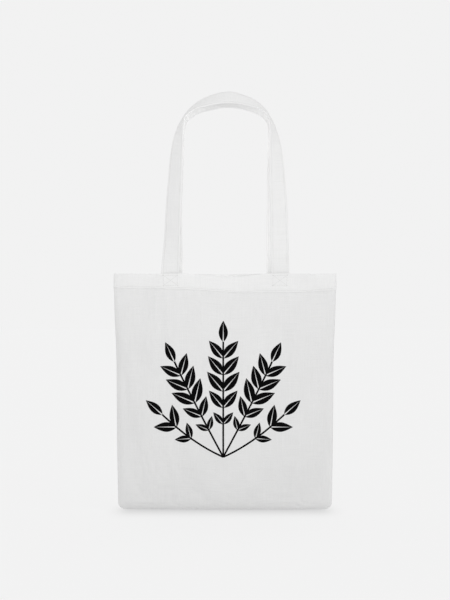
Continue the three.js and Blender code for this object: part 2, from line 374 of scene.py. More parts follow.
def facing_out(sheet, facing):
    """The directions that a sheet's points face, away from the inside of the bag."""
    down, right = np.gradient(sheet, axis=0), np.gradient(sheet, axis=1)
    return unit(np.cross(down, right)) * -facing


fine_drops = finer_rows(drops)
fine_shares = finer_rows(shares)
sheets = {side: finer(skin) for side, skin in skins.items()}
print("fine sheets of", sheets["front"].shape[:2], "points")

# %% Set the depth of the hem
HEM_DEPTHS = {  # at even steps from the left side seam to the right one
    "front": (0.0244, 0.0252, 0.0272, 0.0276, 0.0315, 0.0318, 0.0276),
    "back": (0.0260, 0.0260),
}
HEM_STITCH_INSET = 0.0025  # from the hem's lower edge up to the stitches that hold it


def hem_depth(side, places):
    """How deep the hem is at places across, which are shares of half the mouth's width."""
    depths = finer_rows(finer_rows(np.array(HEM_DEPTHS[side])))
    return np.interp(places, np.linspace(-1, 1, len(depths)), depths)


for side in SIDES:
    depths = hem_depth(side, fine_shares)
    print(side, "hem from", depths.min().round(4), "to", depths.max().round(4), "deep")

# %% Press the sewing into the sheets
ALLOWANCE = 0.008  # width of the cloth that lies folded inside the seams
RIDGE = 0.0003
RIDGE_EDGE = ALLOWANCE / 12  # how softly the ridge ends
PUCKER = 0.00035
PUCKER_REACH = 0.011  # how far from its stitches a pucker dies away
WAVES = [(0.0213, 1.0), (0.0137, 0.8), (0.0091, 0.5)]  # lengths and sizes of the waves in a pucker
PHASES = {"side": 0, "bottom": 2, "hem": 4}  # so that no two seams ripple alike


def ripple(along, phase):
    """An uneven wave, from -1 to 1, along a line of stitches."""
    total = sum(size * np.sin(2 * math.pi * along / length + phase * (n + 1))
                for n, (length, size) in enumerate(WAVES))
    return total / sum(size for _, size in WAVES)


def lengths_along(sheet, axis):
    """How far along its row or column each point of a sheet lies, from the first one."""
    steps = np.linalg.norm(np.diff(sheet, axis=axis), axis=2)
    return np.insert(np.cumsum(steps, axis=axis), 0, 0, axis=axis)


def press_sewing(side, sheet):
    """Raises the seam allowances and puckers a sheet beside its stitches."""
    facing = SIDES[side]
    across, down = lengths_along(sheet, 1), lengths_along(sheet, 0)
    from_side = np.minimum(across, across[:, -1:] - across)
    from_bottom = down[-1:] - down
    from_seam = np.minimum(from_side, from_bottom)
    stitched = hem_depth(side, fine_shares) - HEM_STITCH_INSET
    from_hem = np.abs(fine_drops[:, None] - stitched)
    relief = RIDGE / (1 + np.exp((from_seam - ALLOWANCE) / RIDGE_EDGE))
    relief += PUCKER * np.exp(-from_side / PUCKER_REACH) * ripple(down, PHASES["side"] + facing)
    relief += PUCKER / 2 * np.exp(-from_bottom / PUCKER_REACH) * ripple(across, PHASES["bottom"] + facing)
    relief += PUCKER * np.exp(-from_hem / PUCKER_REACH) * ripple(across, PHASES["hem"] + facing)
    relief[:, [0, -1]] = 0
    relief[-1] = 0
    return sheet + relief[..., None] * facing_out(sheet, facing)


sheets = {side: press_sewing(side, sheet) for side, sheet in sheets.items()}
outward = {side: facing_out(sheet, SIDES[side]) for side, sheet in sheets.items()}

# %% [markdown]
# ## White cotton
#
# Plain cotton is woven one over, one under. A picture of the weave could be wrapped round the bag, but a
# rule is sharper at any distance: two sets of rounded threads cross, and a checkerboard says which lies
# on top. The rule is a shader group, so that the panels, the straps and the ink share one weave, each
# with its own thread count. It reads the piece's UV map, which is laid out in metres.

# %% A helper that adds and joins nodes
class NodeMaker:
    """Adds nodes to a tree. A socket given as an input is linked, and any other value is set."""

    def __init__(self, tree):
        self.tree = tree

    def __call__(self, kind, inputs=(), output=0, **settings):
        node = self.tree.nodes.new(kind)
        for name, value in settings.items():
            setattr(node, name, value)
        for key, value in dict(inputs).items():
            self.feed(node.inputs[key], value)
        return node.outputs[output]

    def feed(self, socket, value):
        """Links a socket to an input, or sets the input to any other value."""
        if isinstance(value, bpy.types.NodeSocket):
            self.tree.links.new(value, socket)
        else:
            socket.default_value = value

    def math(self, operation, *values):
        """A sum, product or the like of sockets and numbers."""
        return self("ShaderNodeMath", enumerate(values), operation=operation)

    def blend(self, factor, low, high):
        """Goes from low to high, which are numbers, as the factor goes from 0 to 1."""
        return self("ShaderNodeMix", {0: factor, 2: low, 3: high})

    def tint(self, factor, dark, light):
        """Goes from a dark to a light colour as the factor goes from 0 to 1."""
        colours = {0: factor, 6: (*dark, 1), 7: (*light, 1)}
        return self("ShaderNodeMix", colours, output=2, data_type="RGBA")


# %% The weave as a shader group
THREAD_DIP = 0.45  # how much lower a thread lies where it passes under another
SLUB_STRETCHES = ((0.9, 0.015, 1), (0.015, 0.9, 1))  # thick places run along a thread, either way


def group_socket(tree, name, way, kind, value=None):
    """Adds a named input or output to a node group."""
    socket = tree.interface.new_socket(name=name, in_out=way, socket_type=f"NodeSocket{kind}")
    if value is not None:
        socket.default_value = value


def weave_group():
    """Plain weave: Height is the threads' relief, Shade paints shade in their dips and adds uneven tone."""
    tree = bpy.data.node_groups.new("plain_weave", "ShaderNodeTree")
    group_socket(tree, "Place", "INPUT", "Vector")
    group_socket(tree, "Threads per metre", "INPUT", "Float", 1800)
    group_socket(tree, "Unevenness", "INPUT", "Float", 0.3)
    group_socket(tree, "Height", "OUTPUT", "Float")
    group_socket(tree, "Shade", "OUTPUT", "Float")
    make = NodeMaker(tree)
    given = tree.nodes.new("NodeGroupInput").outputs
    counted = make("ShaderNodeVectorMath", {0: given[0], "Scale": given[1]}, operation="SCALE")
    split = make("ShaderNodeSeparateXYZ", {0: counted}).node.outputs
    rounds = []
    for count in split[:2]:
        half_turn = make.math("MULTIPLY", make.math("FRACT", count), math.pi)
        rounds.append(make.math("SINE", half_turn))
    floors = make.math("ADD", make.math("FLOOR", split[0]), make.math("FLOOR", split[1]))
    turn = make.math("MULTIPLY", make.math("FRACT", make.math("MULTIPLY", floors, 0.5)), 2)
    bends = [make.math("MULTIPLY_ADD", side, THREAD_DIP, 1 - THREAD_DIP) for side in rounds]
    warp = make.math("MULTIPLY", rounds[0], bends[1])
    weft = make.math("MULTIPLY", rounds[1], bends[0])
    relief = make.blend(turn, warp, weft)
    slubs = []
    for stretch in SLUB_STRETCHES:
        place = make("ShaderNodeVectorMath", {0: counted, 1: stretch}, operation="MULTIPLY")
        slubs.append(make("ShaderNodeTexNoise", {"Vector": place, "Scale": 1, "Detail": 1},
                          noise_dimensions="2D"))
    slub = make.math("SUBTRACT", make.math("ADD", *slubs), 1)
    uneven = make.math("MULTIPLY", slub, given[2])
    result = tree.nodes.new("NodeGroupOutput").inputs
    make.feed(result[0], make.math("ADD", relief, uneven))
    # painted shade: Shade is darker where a thread lies low, under the one that crosses it
    make.feed(result[1], make.math("ADD", make.math("MULTIPLY_ADD", relief, 0.5, 0.5), uneven))
    return tree


weave = weave_group()
print("weave group of", len(weave.nodes), "nodes")

# %% Cotton, thread and ink
UV_NAME = "cloth"
WEAVE_DEPTH = 0.00018
PATCHINESS = 0.25  # how much the cotton's tone changes from place to place


def new_material(name, roughness, sheen):
    """A material with its own Principled shader, and a maker for the nodes that feed it."""
    material = bpy.data.materials.new(name)
    material.use_nodes = True
    shader = material.node_tree.nodes["Principled BSDF"]
    shader.inputs["Roughness"].default_value = roughness
    shader.inputs["Sheen Weight"].default_value = sheen
    shader.inputs["Specular IOR Level"].default_value = 0.25
    return material, shader, NodeMaker(material.node_tree)


def woven(make, shader, threads, unevenness, depth):
    """Puts the weave's relief on a shader and returns its Shade: painted shade in the dips, and uneven
    tone.
    """
    place = make("ShaderNodeUVMap", uv_map=UV_NAME)
    cloth = make("ShaderNodeGroup", node_tree=weave).node
    make.feed(cloth.inputs["Place"], place)
    cloth.inputs["Threads per metre"].default_value = threads
    cloth.inputs["Unevenness"].default_value = unevenness
    bump = make("ShaderNodeBump", {"Height": cloth.outputs["Height"], "Distance": depth, "Strength": 0.6})
    make.feed(shader.inputs["Normal"], bump)
    return cloth.outputs["Shade"]


def cotton(name, dark, light, threads):
    """Matt white cotton with a faintly uneven tone from place to place and painted shade in its weave's
    dips.
    """
    material, shader, make = new_material(name, roughness=0.9, sheen=0.12)
    shade = woven(make, shader, threads, unevenness=0.25, depth=WEAVE_DEPTH)
    place = make("ShaderNodeTexCoord", output="Object")
    patches = make("ShaderNodeTexNoise", {"Vector": place, "Scale": 11, "Detail": 3})
    # the tone mixes random patches with the weave's painted shade
    tone_and_shade = make.math("MULTIPLY_ADD", make.math("SUBTRACT", patches, 0.5), PATCHINESS, shade)
    make.feed(shader.inputs["Base Color"], make.tint(tone_and_shade, dark, light))
    return material


def sewing_thread():
    """Twisted cotton thread, with painted shade darkening it towards both ends where it dips into the
    cloth.
    """
    material, shader, make = new_material("sewing_thread", roughness=0.8, sheen=0.2)
    place = make("ShaderNodeTexCoord", output="Object")
    fibres = make("ShaderNodeTexNoise", {"Vector": place, "Scale": 2600, "Detail": 2})
    dip = make("ShaderNodeAttribute", output="Fac", attribute_name="dip")
    # painted shade: darker towards the ends of each stitch, where it dives into the cloth
    tone_and_shade = make.math("MULTIPLY_ADD", dip, -0.75, make.math("ADD", fibres, 0.3))
    make.feed(shader.inputs["Base Color"], make.tint(tone_and_shade, (0.46, 0.46, 0.455), (0.90, 0.90, 0.895)))
    bump = make("ShaderNodeBump", {"Height": fibres, "Distance": 0.0001, "Strength": 0.5})
    make.feed(shader.inputs["Normal"], bump)
    return material


def print_ink():
    """Black ink pressed into the cloth; the weave shows faintly in it through relief and painted shade in
    the dips.
    """
    material, shader, make = new_material("print_ink", roughness=0.75, sheen=0.0)
    shader.inputs["Specular IOR Level"].default_value = 0.03
    shade = woven(make, shader, threads=1500, unevenness=0.5, depth=WEAVE_DEPTH * 0.7)
    # painted shade: the ink is darkest in the weave's dips and a little lighter on the threads' tops
    shaded_dip, lit_top = (0.0008, 0.0008, 0.0009), (0.003, 0.003, 0.0032)
    make.feed(shader.inputs["Base Color"], make.tint(shade, shaded_dip, lit_top))
    return material


finishes = {
    "panel_cloth": cotton("panel_cotton", (0.62, 0.62, 0.618), (0.86, 0.86, 0.858), 1500),
    "hem_cloth": cotton("hem_cotton", (0.67, 0.67, 0.668), (0.90, 0.90, 0.898), 1500),
    "handle_cloth": cotton("handle_cotton", (0.65, 0.65, 0.648), (0.89, 0.89, 0.888), 1400),
    "sewing_thread": sewing_thread(),
    "print_ink": print_ink(),
}
print("finishes", list(finishes))

# %% [markdown]
# ## The panels
#
# A sheet of faces has no thickness, and a real edge shows some. Solidify gives each panel a wall on its
# inner side and leaves the outer skin where it is. The UV map lays the cloth out flat again: how far a
# point lies along its row and its column, in metres.

# %% Make the two panels
CLOTH_THICKNESS = 0.0006


def lay_out(piece, across, along):
    """Gives a piece a UV map in metres, from one pair of numbers for each vertex."""
    layer = piece.data.uv_layers.new(name=UV_NAME)
    corners = np.empty(len(piece.data.loops), dtype=int)
    piece.data.loops.foreach_get("vertex_index", corners)
    places = np.stack([np.ravel(across), np.ravel(along)], axis=1)[corners]
    layer.data.foreach_set("uv", places.astype(np.float32).ravel())


def dress(piece, finish):
    """Smooths a piece's shading and gives it its finish."""
    piece.data.materials.clear()
    piece.data.materials.append(finishes[finish])
    piece.data.shade_smooth()
    return piece


def panel_piece(side):
    """One panel: its sheet, laid out flat for the weave, with a wall on its inner side."""
    sheet = sheets[side]
    order = np.arange(sheet[..., 0].size).reshape(sheet.shape[:2])
    faces = quads(order if side == "front" else order[:, ::-1])
    panel = new_object(f"{side}_cloth", sheet.reshape(-1, 3), faces)
    across = lengths_along(sheet, 1)
    lay_out(panel, across - across[:, -1:] / 2, -lengths_along(sheet, 0))
    wall = panel.modifiers.new("wall", "SOLIDIFY")
    wall.thickness = CLOTH_THICKNESS
    wall.offset = -1
    return dress(panel, "panel_cloth")


panels = {side: panel_piece(side) for side in SIDES}
print("panels", [panel.name for panel in panels.values()])

# %% [markdown]
# ## The hem
#
# At the mouth the cloth is turned over and stitched down, so the edge is a soft fold and the band below
# it is thicker than the wall. A bump could fake the line, but not the fold seen from above. So the band's
# section is drawn once, over the edge and down both faces, and carried along the mouth. A hem turned by
# hand is never quite even, so the section's depth changes slowly on its way.

# %% Sweep the hem along the mouth
HEM_BULK = 0.0006  # how far the folded band stands out from each face of the panel
HEM_TOP = 0.002  # where the band's flat faces end, under the round fold at the mouth edge
FACE_ROWS = 8
FOLD_STEPS = 7
STITCH_GROOVE = 0.5  # share of the bulk that is left under the stitches
GROOVE_WIDTH = 0.0011


def hem_section(depth):
    """The band's section as (drop below the mouth edge, distance out of the skin), down both faces."""
    stitched = depth - HEM_STITCH_INSET
    face = [(depth, -CLOTH_THICKNESS / 4), (depth + HEM_BULK / 2, HEM_BULK / 2), (depth, HEM_BULK)]
    face += [(stitched + GROOVE_WIDTH, HEM_BULK), (stitched, HEM_BULK * STITCH_GROOVE)]
    face += [(drop, HEM_BULK) for drop in np.linspace(stitched - GROOVE_WIDTH, HEM_TOP, FACE_ROWS)]
    middle = -CLOTH_THICKNESS / 2
    round_edge = HEM_BULK - middle
    turn = np.linspace(0, math.pi, FOLD_STEPS)
    fold = [(round_edge * (1 - math.sin(a)), middle + round_edge * math.cos(a)) for a in turn]
    inside = [(drop, -CLOTH_THICKNESS - out) for drop, out in reversed(face)]
    return face + fold + inside


def at_drop(grid, drop):
    """A line across a sheet at a drop below the mouth edge, which may differ from column to column."""
    columns = np.arange(grid.shape[1])
    drop = np.broadcast_to(drop, columns.shape)
    first = np.clip(np.searchsorted(fine_drops, drop) - 1, 0, len(fine_drops) - 2)
    part = ((drop - fine_drops[first]) / (fine_drops[first + 1] - fine_drops[first]))[:, None]
    return grid[first, columns] * (1 - part) + grid[first + 1, columns] * part


def closed_tube(name, rings):
    """A closed mesh from rings of points, one after the other, with a face across each end."""
    count, around = rings.shape[:2]
    order = np.arange(count * around).reshape(count, around)
    faces = quads(np.concatenate([order, order[:, :1]], axis=1))
    faces += [order[0].tolist(), order[-1, ::-1].tolist()]
    piece = new_object(name, rings.reshape(-1, 3), faces)
    shell = bmesh.new()
    shell.from_mesh(piece.data)
    bmesh.ops.recalc_face_normals(shell, faces=shell.faces)
    shell.to_mesh(piece.data)
    shell.free()
    return piece


def hem_piece(side):
    """The folded band at the mouth of one panel."""
    sheet, normals, facing = sheets[side], outward[side], SIDES[side]
    section = hem_section(hem_depth(side, fine_shares))
    lines = [at_drop(sheet, drop) + out * unit(at_drop(normals, drop)) for drop, out in section]
    rings = np.stack(lines, axis=1)
    rings[..., 1] = facing * np.maximum(facing * rings[..., 1], SEAM_GAP)
    hem = closed_tube(f"{side}_hem", rings)
    along = lengths_along(rings, 0)
    lay_out(hem, along - along[-1:] / 2, lengths_along(rings, 1))
    return dress(hem, "hem_cloth")


hems = {side: hem_piece(side) for side in SIDES}
print("hems", {side: len(hem.data.polygons) for side, hem in hems.items()}, "faces")

# %% [markdown]
# ## The handles
#
# Each handle is a strip of the same cotton, folded in four and stitched near both edges. Its edges are
# round folds, and the two rows of topstitching press a shallow groove into each face. The section is
# carried along the middle line that was read from the solid, turning as the strap turns over at the
# crest, with a slight flutter in the edges.

# %% Measure the straps
def strap_size(node):
    """Width and thickness of a solid strap, from its rings."""
    rings = strap_rings(node)
    _, across, flat = strap_frames(rings)
    width = np.mean([np.ptp(ring @ way) for ring, way in zip(rings, across)])
    thickness = np.mean([np.ptp(ring @ way) for ring, way in zip(rings, flat)])
    return float(width), float(thickness)


strap_sizes = {side: strap_size(f"{side}_handle") for side in SIDES}
print("strap widths and thicknesses", np.round(list(strap_sizes.values()), 4).tolist())

# %% Sweep the straps along their middle lines
TOPSTITCH_INSET = 0.0035  # from the strap's edge to its row of stitches
STRAP_GROOVE = (1 - STITCH_GROOVE) / 2  # share of half the thickness that the stitches press in
STRAP_COLUMNS = 29  # points across a flat face
FLUTTER = 0.0003


def strap_section(width, thickness):
    """Round edges and flat faces with two grooves, as (across, out) round the strap."""
    edge = thickness / 2
    half = width / 2 - edge
    turn = np.linspace(-math.pi / 2, math.pi / 2, FOLD_STEPS)
    flat = np.linspace(half, -half, STRAP_COLUMNS)[1:-1]
    stitch_line = width / 2 - TOPSTITCH_INSET
    groove = np.exp(-(((np.abs(flat) - stitch_line) / GROOVE_WIDTH) ** 2))
    out = edge * (1 - STRAP_GROOVE * groove)
    right = np.stack([half + edge * np.cos(turn), edge * np.sin(turn)], axis=1)
    return np.concatenate([right, np.stack([flat, out], axis=1), -right, np.stack([-flat, -out], axis=1)])


def strap_lines(side):
    """A strap's middle line with its directions across and out of the flat, at fine steps."""
    middles, across, flat = (finer_rows(values) for values in handle_frames[side])
    return middles, unit(across), unit(flat)


def handle_piece(side):
    """One strap from sewn end to sewn end."""
    middles, across, flat = strap_lines(side)
    section = strap_section(*strap_sizes[side])
    along = np.insert(np.cumsum(np.linalg.norm(np.diff(middles, axis=0), axis=1)), 0, 0)
    edge_share = (section[:, 0] / section[:, 0].max()) ** 3
    flutter = FLUTTER * ripple(along / 2, SIDES[side])[:, None] * edge_share
    rings = middles[:, None] + section[None, :, :1] * across[:, None]
    rings = rings + (section[None, :, 1] + flutter)[..., None] * flat[:, None]
    handle = closed_tube(f"{side}_strap", rings)
    around = lengths_along(rings, 1)
    lay_out(handle, around, np.repeat(along[:, None], len(section), axis=1))
    return dress(handle, "handle_cloth"), float(along[-1])


handles, strap_lengths = {}, {}
for side in SIDES:
    handles[side], strap_lengths[side] = handle_piece(side)
print("straps", {side: round(length, 3) for side, length in strap_lengths.items()})

# %% [markdown]
# ## Stitches
#
# A lockstitch is a row of short arcs of thread that dip into the cloth at both ends. Modelling a thousand
# of them by hand makes no sense: Geometry Nodes walks along a line, sets down one arc at every step, and
# turns it along the line and up out of the cloth. The lines lie on the finished sheets: the hem, a box
# with a cross where each handle is sewn on, and the topstitching of the straps.

# %% Build the stitching tree
ARC_STEPS = 4
ARC_PULL = 1.6  # how many rises above the cloth the arc is drawn towards
THREAD_SIDES = 6
STITCH_SIZES = {2: 0.92, 3: 1.06, "Seed": 7}  # the least and the greatest, with a fixed seed


def geometry_tree(name, sizes):
    """A Geometry Nodes tree with a geometry, named sizes and a material as its inputs."""
    tree = bpy.data.node_groups.new(name, "GeometryNodeTree")
    group_socket(tree, "Geometry", "INPUT", "Geometry")
    for size, value in sizes.items():
        group_socket(tree, size, "INPUT", "Float", value)
    group_socket(tree, "Material", "INPUT", "Material")
    group_socket(tree, "Geometry", "OUTPUT", "Geometry")
    return tree, tree.nodes.new("NodeGroupInput").outputs, NodeMaker(tree)


def stitch_tree():
    """Sets an arc of thread at every step along the lines that it is given."""
    sizes = {"Stitch length": 0.0029, "Pitch": 0.0035, "Thread radius": 0.0003, "Rise": 0.0003}
    tree, given, make = geometry_tree("stitches_along_a_line", sizes)
    half = make.math("MULTIPLY", given["Stitch length"], 0.5)
    low = make.math("MULTIPLY", given["Rise"], -1)
    high = make.math("MULTIPLY", given["Rise"], ARC_PULL)
    start = make("ShaderNodeCombineXYZ", {"X": make.math("MULTIPLY", half, -1), "Z": low})
    end = make("ShaderNodeCombineXYZ", {"X": half, "Z": low})
    middle = make("ShaderNodeCombineXYZ", {"Z": high})
    arc = make("GeometryNodeCurveQuadraticBezier",
               {"Resolution": ARC_STEPS, "Start": start, "Middle": middle, "End": end})
    # how near each point lies to an end of the stitch, which the thread's material paints darker as shade
    dip = make.math("ABSOLUTE", make.math("MULTIPLY_ADD", make("GeometryNodeSplineParameter"), 2, -1))
    arc = make("GeometryNodeStoreNamedAttribute", {"Geometry": arc, "Name": "dip", "Value": dip})
    round_thread = make("GeometryNodeCurvePrimitiveCircle",
                        {"Resolution": THREAD_SIDES, "Radius": given["Thread radius"]})
    stitch = make("GeometryNodeCurveToMesh",
                  {"Curve": arc, "Profile Curve": round_thread, "Fill Caps": True})
    line = make("GeometryNodeMeshToCurve", {"Mesh": given["Geometry"]})
    steps = make("GeometryNodeResampleCurve", {"Curve": line, "Length": given["Pitch"]}, mode="LENGTH")
    up = make("GeometryNodeInputNamedAttribute", {"Name": "out_of_cloth"}, data_type="FLOAT_VECTOR")
    turned = make("FunctionNodeAxesToRotation", {0: make("GeometryNodeInputTangent"), 1: up},
                  primary_axis="X", secondary_axis="Z")
    size = make("FunctionNodeRandomValue", STITCH_SIZES, output=1)
    placed = make("GeometryNodeInstanceOnPoints",
                  {"Points": steps, "Instance": stitch, "Rotation": turned, "Scale": size})
    whole = make("GeometryNodeRealizeInstances", {"Geometry": placed})
    smooth = make("GeometryNodeSetShadeSmooth", {"Geometry": whole})
    finished = make("GeometryNodeSetMaterial", {"Geometry": smooth, "Material": given["Material"]})
    make.feed(tree.nodes.new("NodeGroupOutput").inputs[0], finished)
    return tree


stitching = stitch_tree()
print("stitching tree of", len(stitching.nodes), "nodes")


# %% Run a tree on a piece
def grow(piece, tree, values):
    """Runs a Geometry Nodes tree on a piece and keeps the result as the piece's plain mesh."""
    nodes = piece.modifiers.new(tree.name, "NODES")
    nodes.node_group = tree
    for socket in tree.interface.items_tree:
        if socket.in_out == "INPUT" and socket.name in values:
            nodes[socket.identifier] = values[socket.name]
    evaluated = piece.evaluated_get(bpy.context.evaluated_depsgraph_get())
    mesh = bpy.data.meshes.new_from_object(evaluated)
    piece.modifiers.remove(nodes)
    bare = piece.data
    piece.data = mesh
    bpy.data.meshes.remove(bare)
    mesh.name = piece.name
    return piece


def sew(name, lines):
    """One piece of thread along lines, each given as its points and the way the cloth faces there."""
    points = np.concatenate([line[0] for line in lines])
    facing = np.concatenate([line[1] for line in lines])
    edges, first = [], 0
    for line_points, _ in lines:
        edges += [(first + n, first + n + 1) for n in range(len(line_points) - 1)]
        first += len(line_points)
    thread = new_object(name, points, [], edges)
    attribute = thread.data.attributes.new("out_of_cloth", "FLOAT_VECTOR", "POINT")
    attribute.data.foreach_set("vector", facing.astype(np.float32).ravel())
    return grow(thread, stitching, {"Material": finishes["sewing_thread"]})


# %% Draw the lines on the cloth
BOX_WIDTH = 0.0235
BOX_TOP, BOX_BOTTOM = 0.0035, 0.0205  # drops below the mouth edge
LINE_STEP = 0.0015


def on_cloth(side, across, drop, lift):
    """Points at places across and drops below the mouth, lifted off a panel, and the way out of it."""
    rows = np.interp(drop, fine_drops, np.arange(len(fine_drops)))
    half_widths = np.interp(drop, fine_drops, sheets[side][:, -1, 0])
    columns = np.interp(across / half_widths, fine_shares, np.arange(len(fine_shares)))
    row = np.minimum(rows.astype(int), len(fine_drops) - 2)
    column = np.minimum(columns.astype(int), len(fine_shares) - 2)
    down, right = (rows - row)[:, None], (columns - column)[:, None]

    def between(grid):
        upper = grid[row, column] * (1 - right) + grid[row, column + 1] * right
        lower = grid[row + 1, column] * (1 - right) + grid[row + 1, column + 1] * right
        return upper * (1 - down) + lower * down

    out = unit(between(outward[side]))
    return between(sheets[side]) + lift * out, out


def straight(start, end):
    """Places across and drops along a straight line of stitches."""
    steps = max(2, int(math.dist(start, end) / LINE_STEP))
    return np.linspace(start[0], end[0], steps), np.linspace(start[1], end[1], steps)


def box_lines(foot):
    """The sides and the cross of the box that holds a handle's end."""
    left, right = foot - BOX_WIDTH / 2, foot + BOX_WIDTH / 2
    a, b, c, d = (left, BOX_TOP), (right, BOX_TOP), (right, BOX_BOTTOM), (left, BOX_BOTTOM)
    return [straight(*ends) for ends in ((a, b), (b, c), (c, d), (d, a), (a, c), (b, d))]


def hem_stitches(side):
    """The hem's row of stitches on both faces, and the boxes that hold the handles."""
    end = MOUTH_WIDTH / 2 - ALLOWANCE
    across = np.linspace(-end, end, int(2 * end / LINE_STEP))
    row = across, hem_depth(side, across / (MOUTH_WIDTH / 2)) - HEM_STITCH_INSET
    outside = HEM_BULK * STITCH_GROOVE
    lines = [on_cloth(side, *row, outside)]
    inner, out = on_cloth(side, *row, -CLOTH_THICKNESS - outside)
    lines.append((inner, -out))
    for foot in feet[side]:
        lines += [on_cloth(side, *line, HEM_BULK) for line in box_lines(foot)]
    return sew(f"{side}_hem_stitches", lines)


def strap_stitches(side):
    """The two rows of topstitching on both faces of a strap."""
    middles, across, flat = strap_lines(side)
    width, thickness = strap_sizes[side]
    inset = width / 2 - TOPSTITCH_INSET
    depth = thickness / 2 * (1 - STRAP_GROOVE)
    lines = [(middles + edge * inset * across + face * depth * flat, face * flat)
             for edge in (-1, 1) for face in (-1, 1)]
    return sew(f"{side}_strap_stitches", lines)


stitches = {side: (hem_stitches(side), strap_stitches(side)) for side in SIDES}
for pair in stitches.values():
    print("stitches", {piece.name: len(piece.data.polygons) for piece in pair})

# %% [markdown]
# ## The print
#
# The front carries a black print about 26 cm wide: a plain spray of leafy sprigs that fan out from one
# point. It could be painted by a texture, but its edges would blur close up, so it is a film of ink with
# its own outline. A Geometry Nodes tree grows flat sprigs from bare stems: a ribbon along each stem,
# pairs of leaves at even steps that get smaller towards the tip, and one leaf at the end. The flat
# drawing is then laid on the draped cloth point by point, so that it follows every fold.

# %% Build the sprig tree
LEAF_ROWS, LEAF_COLUMNS = 11, 6  # the middle strip of the columns is left out as the vein
LEAF_SWELL = 0.85  # under 1, a leaf is widest nearer to its stem


def leaf_blade(make, given):
    """A flat leaf along +X: two halves that swell and narrow along it, with a bare vein between them."""
    sheet = make("GeometryNodeMeshGrid",
                 {"Size X": 1, "Size Y": 2, "Vertices X": LEAF_ROWS, "Vertices Y": LEAF_COLUMNS})
    place = make("ShaderNodeSeparateXYZ", {0: make("GeometryNodeInputPosition")}).node.outputs
    from_vein = make.math("ABSOLUTE", place["Y"])
    vein_strip = make.math("LESS_THAN", from_vein, 1 / LEAF_COLUMNS)
    halves = make("GeometryNodeDeleteGeometry",
                  {"Geometry": sheet, "Selection": vein_strip}, domain="FACE")
    along = make.math("ADD", place["X"], 0.5)
    swell = make.math("SINE", make.math("MULTIPLY", make.math("POWER", along, LEAF_SWELL), math.pi))
    blade = make.math("MULTIPLY", make.math("MULTIPLY", given["Leaf width"], 0.5), swell)
    gap = 1 / (LEAF_COLUMNS - 1)
    share = make.math("MULTIPLY", make.math("SUBTRACT", from_vein, gap), 1 / (1 - gap))
    half_vein = make.math("MULTIPLY", given["Vein"], 0.5)
    vein = make.math("MULTIPLY", make.math("SUBTRACT", 1, along), half_vein)
    out = make.math("MULTIPLY_ADD", share, blade, vein)
    across = make.math("MULTIPLY", out, make.math("SIGN", place["Y"]))
    length = make.math("MULTIPLY", along, given["Leaf length"])
    shape = make("ShaderNodeCombineXYZ", {"X": length, "Y": across})
    leaf = make("GeometryNodeSetPosition", {"Geometry": halves, "Position": shape})
    return make("GeometryNodeMergeByDistance", {"Geometry": leaf, "Distance": MERGE_DISTANCE})


def sprig_tree():
    """Grows flat leafy sprigs from the bare stems that it is given."""
    sizes = {"Leaf length": 0.051, "Leaf width": 0.0205, "Vein": 0.0026, "Leaf spacing": 0.0258,
             "Leaf lean": 0.70, "Bare length": 0.035, "Growth length": 0.1, "Tip size": 0.72,
             "Stem width": 0.003, "Stem step": 0.003}
    tree, given, make = geometry_tree("leafy_sprigs", sizes)
    leaf = leaf_blade(make, given)
    stem = make("GeometryNodeMeshToCurve", {"Mesh": given["Geometry"]})
    nodes = make("GeometryNodeResampleCurve",
                 {"Curve": stem, "Length": given["Leaf spacing"]}, mode="LENGTH")
    grown = make("GeometryNodeSplineParameter")
    forward = make("GeometryNodeInputTangent")
    tip = make("GeometryNodeCurveEndpointSelection", {"Start Size": 0, "End Size": 1})
    from_base = make("GeometryNodeSplineParameter", output="Length")
    leafy = make.math("SUBTRACT", make.math("GREATER_THAN", from_base, given["Bare length"]), tip)
    young = make.math("MINIMUM", make.math("DIVIDE", from_base, given["Growth length"]), 1)
    size = make.math("MULTIPLY", young, make.blend(grown, 1, given["Tip size"]))
    parts = []
    for lean, chosen in ((-1, leafy), (1, leafy), (0, tip)):
        angle = make.math("MULTIPLY", given["Leaf lean"], lean)
        way = make("ShaderNodeVectorRotate", {"Vector": forward, "Angle": angle}, rotation_type="Z_AXIS")
        turned = make("FunctionNodeAxesToRotation", {0: way, 1: (0, 0, 1)},
                      primary_axis="X", secondary_axis="Z")
        placed = make("GeometryNodeInstanceOnPoints",
                      {"Points": nodes, "Selection": chosen, "Instance": leaf,
                       "Rotation": turned, "Scale": size})
        parts.append(make("GeometryNodeRealizeInstances", {"Geometry": placed}))
    smooth_stem = make("GeometryNodeResampleCurve",
                       {"Curve": stem, "Length": given["Stem step"]}, mode="LENGTH")
    level = make("GeometryNodeSetCurveNormal", {"Curve": smooth_stem}, mode="Z_UP")
    half = make.math("MULTIPLY", given["Stem width"], 0.5)
    ends = [make("ShaderNodeCombineXYZ", {"X": make.math("MULTIPLY", half, side)}) for side in (-1, 1)]
    ribbon = make("GeometryNodeCurvePrimitiveLine", {"Start": ends[0], "End": ends[1]})
    parts.append(make("GeometryNodeCurveToMesh", {"Curve": level, "Profile Curve": ribbon}))
    joined = tree.nodes.new("GeometryNodeJoinGeometry")
    for part in parts:
        tree.links.new(part, joined.inputs[0])
    finished = make("GeometryNodeSetMaterial",
                    {"Geometry": joined.outputs[0], "Material": given["Material"]})
    make.feed(tree.nodes.new("NodeGroupOutput").inputs[0], finished)
    return tree


sprigs = sprig_tree()
print("sprig tree of", len(sprigs.nodes), "nodes")

